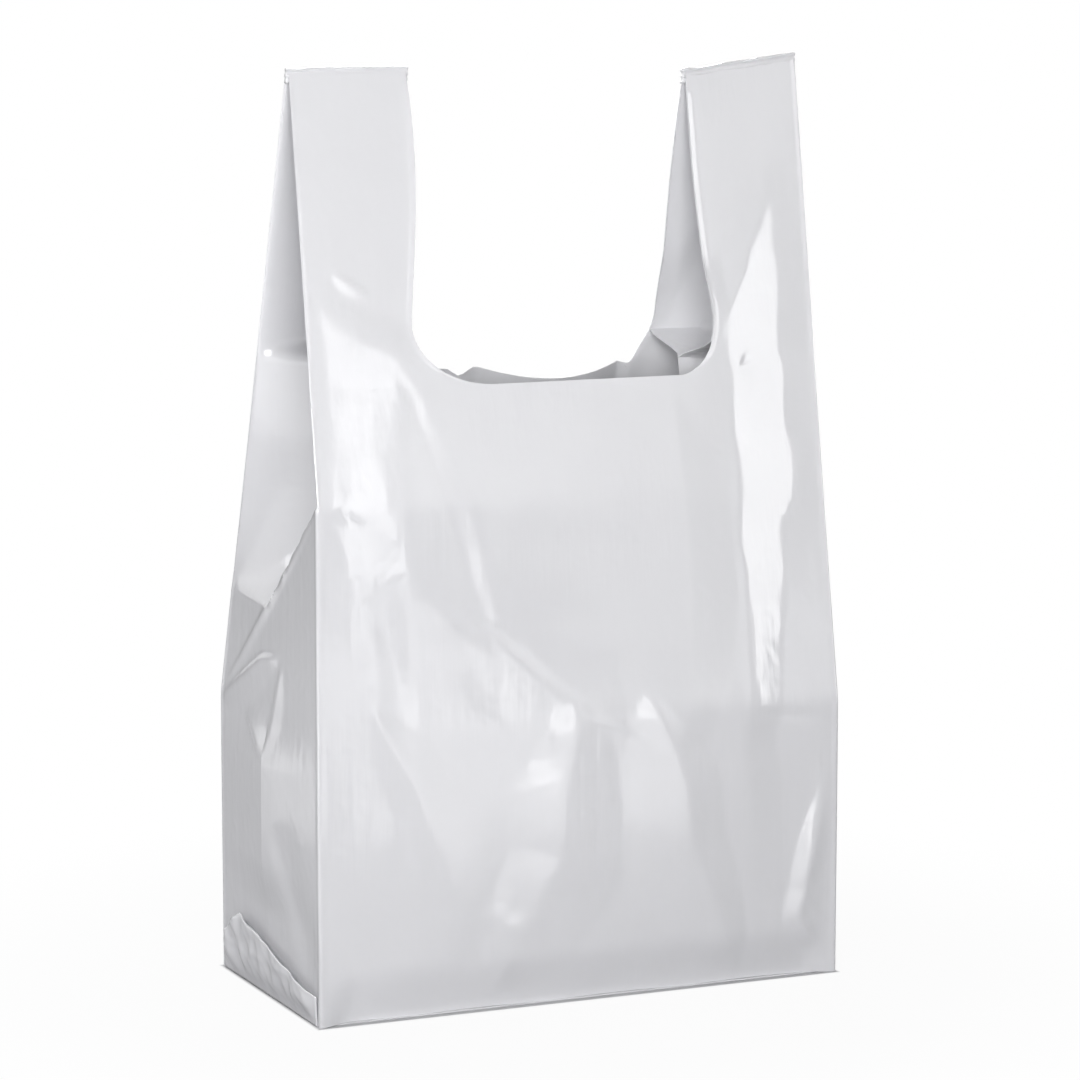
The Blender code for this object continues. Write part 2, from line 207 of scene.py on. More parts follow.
sideFolds = {
    left: [
        (((0.156, 0.150), (0.075, 0.216), (-0.006, 0.282)), 0.0012, 0.0050, 0.0035, 1),
        (((0.154, 0.150), (0.085, 0.184), (0.056, 0.190)), 0.0020, 0.018, 0.004, 1),
        (((0.112, 0.152), (0.074, 0.130)), 0.0014, 0.005, 0.016, 1),
        (((0.076, 0.128), (0.054, 0.186)), 0.0010, 0.010, 0.006, 1),
        (((0.060, 0.100), (0.030, 0.050), (0.010, 0.020)), -0.0016, 0.010, 0.020, 0),
    ],
    right: [
        (((0.004, 0.152), (0.050, 0.158), (0.085, 0.130)), 0.0016, 0.010, 0.004, 1),
        (((0.146, 0.152), (0.110, 0.150), (0.075, 0.120)), 0.0016, 0.004, 0.010, 1),
        (((0.110, 0.120), (0.090, 0.070), (0.120, 0.030)), -0.0012, 0.012, 0.012, 0),
    ],
}
crumpleLook = {
    "fade": 0.022,          # folds die out this near an edge of the film
    "ridge": 0.0044,        # centre ridge of a side below its inward fold
    "ridgeFoot": 0.045,
    "ridgeFade": 0.030,
    "partingReach": 0.013,  # over this the gusset's halves go over to their own panels
    "slackCentre": 0.025,
    "slackHalfWidth": 0.043,
    "slackDrop": 0.007,
    "slackDepth": 0.012,
    "slackReach": 0.080,
    "nicks": ((-0.029, 0.008, 0.7), (0.0750, 0.008, 0.70)),    # dips in the back edge: across, reach, share
    "nickReach": 0.020,     # they are gone this far above the edge
    "waves": 0.00060,
    "sideWaves": 0.00020,
    "streaks": 0.00018,     # faint upright pleats
    "curl": 0.0007,         # the cut edge stands off by this over its last few millimetres
    "curlReach": 0.0030,
}


def pathDistance(x, z, path):
    # distance to a path of straight stretches, +1 to the left of it and -1 to its right, and how far
    # along it the nearest point is, as a share of its length
    nearest = np.full(np.broadcast(x, z).shape, np.inf)
    hand, share = np.ones(nearest.shape), np.zeros(nearest.shape)
    lengths = [hypot(x1 - x0, z1 - z0) for (x0, z0), (x1, z1) in zip(path, path[1:])]
    passed = 0
    for (x0, z0), (x1, z1), length in zip(path, path[1:], lengths):
        run, climb = (x1 - x0) / length, (z1 - z0) / length
        along = np.clip((x - x0) * run + (z - z0) * climb, 0, length)
        away = np.hypot(x - x0 - along * run, z - z0 - along * climb)
        leftOf = np.sign(run * (z - z0) - climb * (x - x0))
        hand = np.where(away < nearest, leftOf, hand)
        share = np.where(away < nearest, (passed + along) / sum(lengths), share)
        nearest = np.minimum(nearest, away)
        passed += length
    return nearest, hand, share


def foldLift(folds, x, z):
    # with t = 1 - |2s - 1|^2.4 along the path, soft folds are bells t exp(-(d/w)^2) and sharp ones are
    # tents max(t - d/w, 0), which narrow to a point at the path's ends; w is the reach on that side
    lift = 0
    for path, height, reachLeft, reachRight, sharp in folds:
        away, hand, share = pathDistance(x, z, path)
        taper = np.maximum(1 - np.abs(2 * share - 1) ** 2.4, 0.02)
        d = away / np.where(hand > 0, reachLeft, reachRight)
        profile = np.maximum(taper - d, 0) if sharp else taper * np.exp(-d * d)
        lift = lift + height * profile
    return lift


def waves(x, z, seed, size, count=7):
    # mean of plane waves in seeded directions, each folded over so that it has a crest: 1 - 2|sin|
    rng = np.random.default_rng(seed)
    total = 0
    for turn, phase, stretch in rng.uniform(0, 1, (count, 3)):
        along = x * cos(pi * turn) + z * sin(pi * turn)
        cross = z * cos(pi * turn) - x * sin(pi * turn)
        warp = 0.5 * np.sin(cross / size * 1.3 + 9 * phase)
        total = total + 1 - 2 * np.abs(np.sin(along / (size * (0.7 + stretch)) + warp + 6 * phase))
    return total / count


def bellyLift(across, level):
    # lift = middle - what the left flank still lacks - what the right flank still lacks, at least 0,
    # where a flank climbs slope * distance from its start and its bends are rounded; the hem goes back in
    fromLeft, fromRight = halfWidth + across, halfWidth - across
    ripple = belly["ripple"] * waves(0 * across, level, 61, 0.016, 4)
    crossed = ease((belly["creaseTop"] - level) / (belly["creaseTop"] - belly["creaseFoot"]))
    startLeft = belly["startLeft"] + belly["flankLeft"] * crossed + ripple
    endLeft = belly["startLeft"] + belly["flankLeft"] + 0 * level
    climbLeft = bend(fromLeft - startLeft, belly["turn"]) - bend(fromLeft - endLeft, belly["turn"])
    narrow = ease((belly["narrowsFrom"] - level) / (belly["narrowsFrom"] - belly["creaseFoot"]))
    startRight = belly["startRight"] + belly["narrows"] * narrow + ripple
    flank = belly["flankRight"] - belly["narrowsMore"] * belly["narrows"] * narrow
    lacksRight = flank - bend(fromRight - startRight, belly["turn"])
    lacksRight = lacksRight + bend(fromRight - startRight - flank, belly["turn"])
    topLeft = belly["slopeLeft"] * belly["flankLeft"] * (1 - crossed)
    topRight = belly["slopeRight"] * flank
    middle = topLeft + (topRight - topLeft) * ease((across + 0.1) / 0.21)
    lift = middle - (topLeft - belly["slopeLeft"] * climbLeft) - belly["slopeRight"] * lacksRight
    endsLeft = belly["topLeft"] - belly["leftSlant"] * np.minimum(fromLeft, belly["leftSlantReach"])
    upFlank = np.clip(fromRight - startRight, 0, belly["flankRight"])
    endsRight = belly["topRight"] - belly["topSlant"] * upFlank
    top = np.where(across < 0, endsLeft, endsRight)
    reach = np.where(across < 0, belly["topReachLeft"], belly["topReach"])
    height = ease(level / belly["foot"]) * ease((top - level) / reach)
    hem = belly["hem"] * ease(1 - level / belly["hemReach"]) * ease(np.minimum(fromLeft, fromRight) / 0.02)
    return np.maximum(lift, 0) * height - hem


def panelLift(face, across, level):
    # folds, waves, pleats and crumples, fading out at the edges, plus the belly
    edge = np.minimum(halfWidth - np.abs(across), np.minimum(level, sealBottom - level))
    lift = foldLift(panelFolds[face], across, level)
    lift = lift + crumpleLook["waves"] * waves(across, level, 5 + face, 0.030)
    lift = lift + crumpleLook["streaks"] * waves(across, level / 9, 15 + face, 0.006)
    for (x, z), reach, height, size in crumplePatches[face]:
        near = np.exp(-((across - x) ** 2 + (level - z) ** 2) / reach**2)
        lift = lift + height * near * waves(across, level, 25 + face, size)
    lift = lift * ease(edge / crumpleLook["fade"])
    inward = ease(1 + (mouthBottom - level) / 0.014)       # no dent where a gusset lies behind the panel
    return np.maximum(lift, 0) + np.minimum(lift, 0) * inward + bellyLift(across, level)


def panelPoint(face, across, level):
    # straight from corner fold to corner fold, plus the folds; the back's mouth edge hangs slack
    atLeft, atRight = cornerFold(left, face, level), cornerFold(right, face, level)
    point = atLeft + (atRight - atLeft) * ((across + halfWidth) / bag["width"])[..., None]
    lift = panelLift(face, across, level)
    if face == back:
        slack = (across - crumpleLook["slackCentre"]) / crumpleLook["slackHalfWidth"]
        slack = np.clip(1 - slack**2, 0, 1)
        nearEdge = ease(1 - (mouthBottom - level) / crumpleLook["slackReach"])
        lift = lift - crumpleLook["slackDepth"] * slack * nearEdge
        overEdge = 1 - ease((level - mouthBottom) / crumpleLook["nickReach"])
        for centre, reach, share in crumpleLook["nicks"]:
            slack = slack + share * overEdge * np.clip(1 - np.abs(across - centre) / reach, 0, 1)
        point[..., 2] -= crumpleLook["slackDrop"] * slack * nearEdge
    point[..., 1] += face * lift
    ends = ease((halfWidth - np.abs(across)) / 0.015)
    point[..., 2] += bag["hemGap"] * ends * ease(1 - level / 0.01) * (0.7 + 0.3 * np.sin(across / 0.013))
    for side in (left, right):
        tilt = sealTilt(side, halfWidth - side * across, level)
        point[..., 2] += np.where(side * across > 0, tilt, 0)
    return point


def sidePoint(side, across, level):
    # flat below the crease between the two kinks; above it a V whose depth follows from the film's width;
    # above the die cut each half goes over to lie along its own panel
    atFront, atBack = cornerFold(side, front, level), cornerFold(side, back, level)
    frontKink, backKink = kinks[side, front], kinks[side, back]
    flat = np.clip((max(frontKink, backKink) - level) / (abs(frontKink - backKink) or bag["film"]), 0, 1)
    flat = bag["depth"] * flat
    start, end = (flat, bag["depth"]) if frontKink >= backKink else (0, bag["depth"] - flat)
    valley = np.clip(halfDepth, start, end)
    chord = np.maximum(atBack[..., 1] - atFront[..., 1] - (start + bag["depth"] - end), bag["film"])
    before, after = valley - start, end - valley
    foot = np.clip((before**2 - after**2 + chord**2) / (2 * chord), 0, chord)
    depth = np.sqrt(np.clip(before**2 - foot**2, 0, None))
    toValley = np.clip((across - start) / np.maximum(before, bag["film"]), 0, 1)
    pastValley = np.clip((across - valley) / np.maximum(after, bag["film"]), 0, 1)
    y = atFront[..., 1] + np.minimum(across, start) + foot * toValley
    y = y + (chord - foot) * pastValley + np.maximum(across - end, 0)

    fromFold = np.minimum(across, bag["depth"] - across)
    ridge = ease((level - crumpleLook["ridgeFoot"]) / crumpleLook["ridgeFade"])
    ridge = ridge * ease((min(frontKink, backKink) - level) / crumpleLook["ridgeFade"])
    ridge = crumpleLook["ridge"] * ridge * fromFold / halfDepth
    crumples = foldLift(sideFolds[side], across, level)
    crumples = crumples + crumpleLook["sideWaves"] * waves(across, level, 11 + side, 0.026)
    crumples = crumples * ease(np.minimum(fromFold, level) / 0.012)
    onMiddle = np.exp(-((across - halfDepth) / 0.010) ** 2) * ease((0.125 - level) / 0.030)
    crumples = crumples * (1 - onMiddle)
    point = atFront + (atBack - atFront) * (across / bag["depth"])[..., None]
    point[..., 0] += side * (ridge + crumples - depth * toValley * (1 - pastValley))
    point[..., 1] = y
    point[..., 2] += sealTilt(side, fromFold, level)

    onFront = across <= halfDepth
    behind = [panelPoint(face, side * (halfWidth - fromFold), level) for face in (front, back)]
    behind = np.where(onFront[..., None], *behind)
    behind[..., 1] += np.where(onFront, bag["plyPitch"], -bag["plyPitch"])
    parted = ease((level - cutLevel[side]) / crumpleLook["partingReach"])[..., None]
    return point + (behind - point) * parted


# Grids of the film: the height of a row, and how many columns or rows each stretch takes
grid = {"row": 0.0023, "panel": 44, "middle": 36, "gusset": 30, "fold": 5, "corner": 9}


def rowLevels(side):
    # even rows, with rows at the kinks and closer rows round the mouth's corners
    def steps(bottom, top):
        return np.linspace(bottom, top, max(2, round((top - bottom) / grid["row"])) + 1)[:-1]

    angles = np.concatenate([
        np.linspace(0, cutAngle[side], grid["corner"] + 1)[:-1],
        np.linspace(cutAngle[side], pi / 2, grid["corner"] + 1),
    ])
    corner = mouthBottom + cut["cornerRise"] * (1 - np.cos(angles))
    return np.concatenate([
        steps(0, bag["kinkLow"]),
        steps(bag["kinkLow"], bag["kinkHigh"]),
        steps(bag["kinkHigh"], mouthBottom),
        corner[:-1],
        steps(waistLevel, sealBottom),
        [sealBottom, sealBottom + sealHeight / 2],
    ])


def quarterPoints(side, face, levels):
    # from the die cut across a panel, round the corner fold, in to the gusset's middle fold;
    # the corner is a quadratic Bezier through the fold's own line
    level = levels[:, None]
    radius = bag["foldRadius"]
    width = handleWidth(side, level)
    overMouth = ease((level - mouthBottom) / 0.010) * ease((sealBottom - level) / 0.010)
    share = np.linspace(1, 0, grid["panel"] + 1)
    fromFold = radius + (width - radius) * share
    panel = panelPoint(face, side * (halfWidth - fromFold), level + 0 * share)
    nearCut = ease(1 - (width - fromFold) / crumpleLook["curlReach"])
    panel[..., 1] += face * crumpleLook["curl"] * nearCut * overMouth
    share = np.linspace(0, 1, grid["gusset"] + 1)
    fromFold = radius + (np.minimum(width, halfDepth) - radius) * share
    across = fromFold if face == front else bag["depth"] - fromFold
    gusset = sidePoint(side, across, level + 0 * share)
    tip = cornerFold(side, face, levels)
    tip += bag["bead"] * np.array([side, face, 0])
    tip[:, 2] += sealTilt(side, 0, levels)
    t = np.linspace(0, 1, grid["fold"] + 2)[1:-1, None]
    ends = panel[:, -1:, :] * (1 - t) ** 2 + gusset[:, :1, :] * t**2
    turn = ends + tip[:, None, :] * 2 * t * (1 - t)
    return np.concatenate([panel, turn, gusset], 1)


def middlePoints(face, levels):
    # a panel's middle, below the straight part of the mouth's edge
    across = np.linspace(mouthFlat[left], mouthFlat[right], grid["middle"] + 1)
    level = levels[levels < mouthBottom + bag["film"]][:, None]
    return panelPoint(face, across + 0 * level, level + 0 * across)


def gridFaces(rows, columns, first=0):
    # four corners of each face of a grid whose first point has this number
    corner = first + np.arange(rows - 1)[:, None] * columns + np.arange(columns - 1)
    return np.stack([corner, corner + 1, corner + columns + 1, corner + columns], -1).reshape(-1, 4)


def newPiece(name, points, faces, material):
    # the mesh takes its points and faces as whole arrays
    mesh = bpy.data.meshes.new(name)
    mesh.from_pydata(points, [], faces)
    piece = bpy.data.objects.new(name, mesh)
    bpy.context.scene.collection.objects.link(piece)
    mesh.materials.append(material)
    mesh.shade_smooth()
    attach(piece, "root")
    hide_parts("bag")
    return piece


def joinGrids(piece):
    # neighbouring grids become one surface that faces out
    mesh = bmesh.new()
    mesh.from_mesh(piece.data)
    bmesh.ops.remove_doubles(mesh, verts=mesh.verts, dist=1e-5)
    bmesh.ops.recalc_face_normals(mesh, faces=mesh.faces)
    mesh.to_mesh(piece.data)
    mesh.free()


def addWall(piece, thickness):
    # the wall is worked out here, so that its rims can be shaded sharp and the two halves meet without a line
    wall = piece.modifiers.new("film", "SOLIDIFY")
    wall.thickness = thickness
    wall.offset = 0
    wall.use_even_offset = True
    whole = piece.evaluated_get(bpy.context.evaluated_depsgraph_get())
    mesh = bpy.data.meshes.new_from_object(whole)
    piece.modifiers.clear()
    piece.data = mesh
    mesh.name = piece.name
    mesh.set_sharp_from_angle(angle=radians(50))


def filmHalf(name, face, material):
    # front or back half of the tube: a panel with both its corner folds and the gusset film that joins it
    grids = [
        quarterPoints(left, face, rowLevels(left)),
        middlePoints(face, rowLevels(left)),
        quarterPoints(right, face, rowLevels(right)),
    ]
    faces, points = [], []
    for g, facing in zip(grids, (1, 1, -1)):
        first = sum(len(p) for p in points)
        turned = gridFaces(*g.shape[:2], first)[:, ::facing * face]
        faces.append(turned)
        points.append(g.reshape(-1, 3))
    piece = newPiece(name, np.concatenate(points), np.concatenate(faces), material)
    joinGrids(piece)
    addWall(piece, bag["film"])
    return piece


# Small pieces: welds, ears and base
seal = {
    "lip": 0.00060,         # stands proud of the plies
    "bevel": 0.0004,
    "overlap": 0.0004,      # reaches down over the plies
    "waves": {left: 0.0003, right: 0.0009},
    "rib": 0.00032,         # ridges that the sealing bar leaves along the weld
    "columns": 90, "rows": 14,
}


def closedSheet(name, outer, inner, material):
    # a thin solid between two grids of the same size, closed round its rim
    rows, columns = outer.shape[:2]
    count = rows * columns
    faces = gridFaces(rows, columns)
    index = np.arange(count).reshape(rows, columns)
    rim = np.concatenate([index[0, :-1], index[:-1, -1], index[-1, :0:-1], index[:0:-1, 0]])
    after = np.roll(rim, -1)
    sides = np.stack([after, rim, rim + count, after + count], -1)
    points = np.concatenate([outer.reshape(-1, 3), inner.reshape(-1, 3)])
    piece = newPiece(name, points, np.concatenate([faces, faces[:, ::-1] + count, sides]), material)
    joinGrids(piece)
    return piece


def handleSeal(name, side, material):
    # weld across a handle's top: a slightly wavy bar with a lip that stands proud of the plies
    across = np.linspace(-bag["film"], cut["handleWidth"] + bag["film"], seal["columns"] + 1)[None, :]
    up = np.linspace(0, 1, seal["rows"] + 1)[:, None]
    level = sealBottom - seal["overlap"] + (sheetTop - sealBottom + seal["overlap"]) * up + 0 * across
    atFold = cornerFold(side, front, np.minimum(level, sheetTop))
    half = sealHalfStack + bag["film"] / 2 + seal["lip"]
    toEnd = np.minimum(across + bag["film"], cut["handleWidth"] + bag["film"] - across)
    edge = np.minimum(np.minimum(up, 1 - up) * sealHeight, toEnd)
    half = half - seal["bevel"] * (1 - np.clip(edge / seal["bevel"], 0, 1)) ** 2
    half = half + seal["rib"] * np.sin(5 * pi * up)
    crimp = seal["waves"][side] * waves(across + 0 * up, 0.6 * level, 31 + side, 0.005, 5)
    crimp = crimp * np.minimum(1, 4 * up)
    tilt = sealTilt(side, across, level) + 1.2 * crimp * ease((up - 0.7) / 0.3)
    sheets = []
    for face in (front, back):
        y = bag["sealY"] + face * (half + 0.3 * crimp) + crimp
        sheets.append(np.stack([atFold[..., 0] - side * across, y, atFold[..., 2] + tilt], -1))
    return closedSheet(name, *sheets, material)


ear = {
    "frontHeight": 0.015, "peakHeight": 0.038, "backHeight": 0.013, "peakFromBack": 0.036,
    "margin": 0.004, "standOff": 0.0030, "wall": 0.0006, "opening": 0.015, "crumple": 0.0024,
    "columns": 90, "rows": 26,
}


def endEar(name, side, material):
    # loose ear of the block bottom, folded up against the side: its top edge climbs to a peak near the back
    across = np.linspace(ear["margin"], bag["depth"] - ear["margin"], ear["columns"] + 1)
    peak = bag["depth"] - ear["peakFromBack"]
    frontRise = ear["frontHeight"] + (ear["peakHeight"] - ear["frontHeight"]) * across / peak
    backShare = np.clip((bag["depth"] - across) / ear["peakFromBack"], 0, 1)
    backRise = backShare**0.8 * (ear["peakHeight"] - ear["backHeight"]) + ear["backHeight"]
    height = np.minimum(frontRise, backRise) + 0.0003 * np.sin(across / 0.006)
    share = np.linspace(0, 1, ear["rows"] + 1)[:, None]
    level = bag["film"] + (height - bag["film"]) * share
    across = across + 0 * share
    fromFold = np.minimum(across, bag["depth"] - across)
    off = ease(level / ear["opening"]) * ease(fromFold / ear["opening"])
    crumple = ear["crumple"] * (waves(across, level, 41 + side, 0.007) + 0.6)
    sheet = sidePoint(side, across, level)
    sheet[..., 0] += side * (bag["film"] / 2 + (ear["standOff"] + crumple) * off)
    outer = sheet.copy()
    outer[..., 0] += side * ear["wall"]
    if side == right:
        outer, sheet = sheet, outer
    return closedSheet(name, outer, sheet, material)


baseLook = {
    "setBack": 0.0040,      # from the panels' lower edges
    "columns": 80, "rows": 40, "waves": 0.00025,
    "weldWidth": 0.008, "weldRise": 0.0008, "foldRise": 0.0005, "margin": 0.004,
}


def baseFilm(name, material):
    # the base: a flat sheet whose upper side waves a little
    x = np.linspace(-halfWidth, halfWidth, baseLook["columns"] + 1)[None, :]
    y = np.linspace(-halfDepth, halfDepth, baseLook["rows"] + 1)[:, None]
    y = y * (1 - 2 * baseLook["setBack"] / bag["depth"])
    x, y = x + 0 * y, y + 0 * x
    inner = ease((halfWidth - np.abs(x)) / 0.02) * ease((halfDepth - np.abs(y)) / 0.02)
    upper = bag["film"] + baseLook["waves"] * (1 + waves(x, y, 51, 0.012)) * inner
    lower = np.stack([x, y, 0 * x], -1)
    return closedSheet(name, np.stack([x, y, upper], -1), lower, material)


def basePly(name, outline, rise, material):
    # extra film lying flat on the base inside
    count = len(outline)
    points = [(x, y, bag["film"] / 2) for x, y in outline] + [(x, y, bag["film"] + rise) for x, y in outline]
    sides = [(i, (i + 1) % count, count + (i + 1) % count, count + i) for i in range(count)]
    ends = [tuple(range(count - 1, -1, -1)), tuple(range(count, 2 * count))]
    piece = newPiece(name, points, [*ends, *sides], material)
    piece.data.shade_flat()
    return piece


# Colours and the node helper

def linear(code):
    # sRGB hex to linear RGBA
    channels = np.array([int(code[i:i + 2], 16) for i in (1, 3, 5)]) / 255
    channels = np.where(channels <= 0.04045, channels / 12.92, ((channels + 0.055) / 1.055) ** 2.4)
    return (*channels.tolist(), 1.0)


def addNode(tree, kind, settings=None, inputs=None):
    node = tree.nodes.new(kind)
    for name, value in (settings or {}).items():
        setattr(node, name, value)
    for name, value in (inputs or {}).items():
        if isinstance(value, bpy.types.NodeSocket):
            tree.links.new(value, node.inputs[name])
        else:
            node.inputs[name].default_value = value
    return node


filmLook = {
    "colour": "#DADADD",
    "shade": "#D5D5D8",
    "roughness": (0.10, 0.18),
    "ior": 1.52,
    "dieLinePitch": 0.0016,    # lines that the die leaves along the film, drawn coarser than real ones
    "crinkleSize": 0.009,
    "crinkleHeight": 0.00040,
    "pleatSize": 0.010,        # broad upright pleats, ten times as tall as wide
    "pleatHeight": 0.00050,
}


def blownFilm():
    # opaque white blown polyethylene: a glossy skin with faint die lines up the bag, broad upright
    # pleats and fine handling crinkles, a little duller in cloudy patches
    material = bpy.data.materials.new("whiteBlownPolyethylene")
    material.use_nodes = True
    tree = material.node_tree
    shader = tree.nodes["Principled BSDF"]
    shader.inputs["IOR"].default_value = filmLook["ior"]
    place = addNode(tree, "ShaderNodeTexCoord").outputs["Object"]
    streak = 1 / filmLook["dieLinePitch"]
    stretched = addNode(tree, "ShaderNodeMapping", inputs={
        "Vector": place, "Scale": (streak, streak, streak / 60),
    })
    dieLines = addNode(tree, "ShaderNodeTexNoise", inputs={
        "Vector": stretched.outputs["Vector"], "Scale": 1.0, "Detail": 2.0,
    })
    crinkle = addNode(tree, "ShaderNodeTexNoise", {"noise_type": "RIDGED_MULTIFRACTAL"}, {
        "Vector": place, "Scale": 1 / filmLook["crinkleSize"],
        "Detail": 3.0, "Roughness": 0.45, "Lacunarity": 2.3,
    })
    cloud = addNode(tree, "ShaderNodeTexNoise", inputs={"Vector": place, "Scale": 24.0, "Detail": 3.0})
    low, high = filmLook["roughness"]
    rough = addNode(tree, "ShaderNodeMapRange", inputs={
        "Value": cloud.outputs["Fac"], "From Min": 0.35, "From Max": 0.65, "To Min": low, "To Max": high,
    })
    tree.links.new(rough.outputs["Result"], shader.inputs["Roughness"])
    tint = addNode(tree, "ShaderNodeMix", {"data_type": "RGBA"})
    tree.links.new(cloud.outputs["Fac"], tint.inputs["Factor"])
    tint.inputs["A"].default_value = linear(filmLook["colour"])
    tint.inputs["B"].default_value = linear(filmLook["shade"])
    tree.links.new(tint.outputs["Result"], shader.inputs["Base Color"])
    fine = addNode(tree, "ShaderNodeBump", inputs={
        "Height": dieLines.outputs["Fac"], "Distance": 0.00002, "Strength": 0.5,
    })
    tall = 1 / filmLook["pleatSize"]
    upright = addNode(tree, "ShaderNodeMapping", inputs={"Vector": place, "Scale": (tall, tall, tall / 10)})
    pleats = addNode(tree, "ShaderNodeTexNoise", inputs={
        "Vector": upright.outputs["Vector"], "Scale": 1.0, "Detail": 3.0,
    })
    pleated = addNode(tree, "ShaderNodeBump", inputs={
        "Height": pleats.outputs["Fac"], "Distance": filmLook["pleatHeight"], "Strength": 0.5,
        "Normal": fine.outputs["Normal"],
    })
    both = addNode(tree, "ShaderNodeBump", inputs={
        "Height": crinkle.outputs["Fac"], "Distance": filmLook["crinkleHeight"], "Strength": 0.35,
        "Normal": pleated.outputs["Normal"],
    })
    tree.links.new(both.outputs["Normal"], shader.inputs["Normal"])
    return material


# Stage, light and camera
stage = {
    "floorColour": "#B4B4B6", "floorRoughness": 0.9, "floorSpecular": 0.1,
    "floorSize": 12.0, "worldLevel": 0.08,
    # the last entry is the width of the painted contact shadow round the base
    "nearGlow": 0.95, "glowFrom": 0.18, "glowTo": 0.45, "paintedContactShadowReach": 0.0028,
}
lamps = {
    # name: azimuth right of the front, distance, foot height, width, height, radiance;
    # the two fills light the sides that the camera doesn't see
    "keyFront": (-22, 1.4, 0.30, 0.70, 0.70, 12.4),
    "bankLeft": (-115, 1.1, 0.60, 0.70, 0.70, 4.4),
    "fillBack": (168, 1.5, 0.40, 0.90, 0.90, 6.0),
    "fillRight": (105, 1.5, 0.40, 0.70, 0.70, 4.0),
    "overhead": (0, 0.1, 1.9, 1.0, 1.0, 2.8),
}
tiltFrom = 0.5      # lamps that hang higher than this face the bag, lower ones stand upright
reflectedCards = {
    # white cards that the glossy film mirrors, with no diffuse light of their own; same order
    "stripLeftOfFront": (9.6, 1.15, 0.01, 0.21, 1.0, 3.9),
    "cardMid": (32, 1.2, 0.01, 0.12, 1.0, 1.4),
    "panelRightOfFront": (52.5, 1.235, 0.01, 0.34, 1.0, 6.0),
    "cornerCard": (-62, 0.75, 0.005, 0.44, 0.80, 2.2),
    "cardLow": (13, 0.46, 0.003, 0.17, 0.13, 1.9),
    "rimBackLeft": (-139, 0.85, 0.01, 0.14, 0.8, 0.5),
    "rimLow": (-130, 0.463, 0.005, 0.10, 0.12, 0.7),
    "foldCard": (-75, 0.33, 0.002, 0.16, 0.18, 3.2),
}


def softLamp(name, azimuth, distance, foot, width, tall, radiance):
    data = bpy.data.lights.new(name, "AREA")
    data.shape = "RECTANGLE"
    data.size, data.size_y = width, tall
    data.energy = radiance * width * tall * pi
    lamp = bpy.data.objects.new(name, data)
    bpy.context.scene.collection.objects.link(lamp)
    turn = radians(azimuth)
    place = Vector((distance * sin(turn), -distance * cos(turn), foot + tall / 2))
    aim = Vector((0, 0, bag["height"] / 2)) - place
    aim.z = aim.z if foot > tiltFrom else 0
    lamp.matrix_world = Matrix.Translation(place) @ aim.to_track_quat("-Z", "Y").to_matrix().to_4x4()
    return lamp


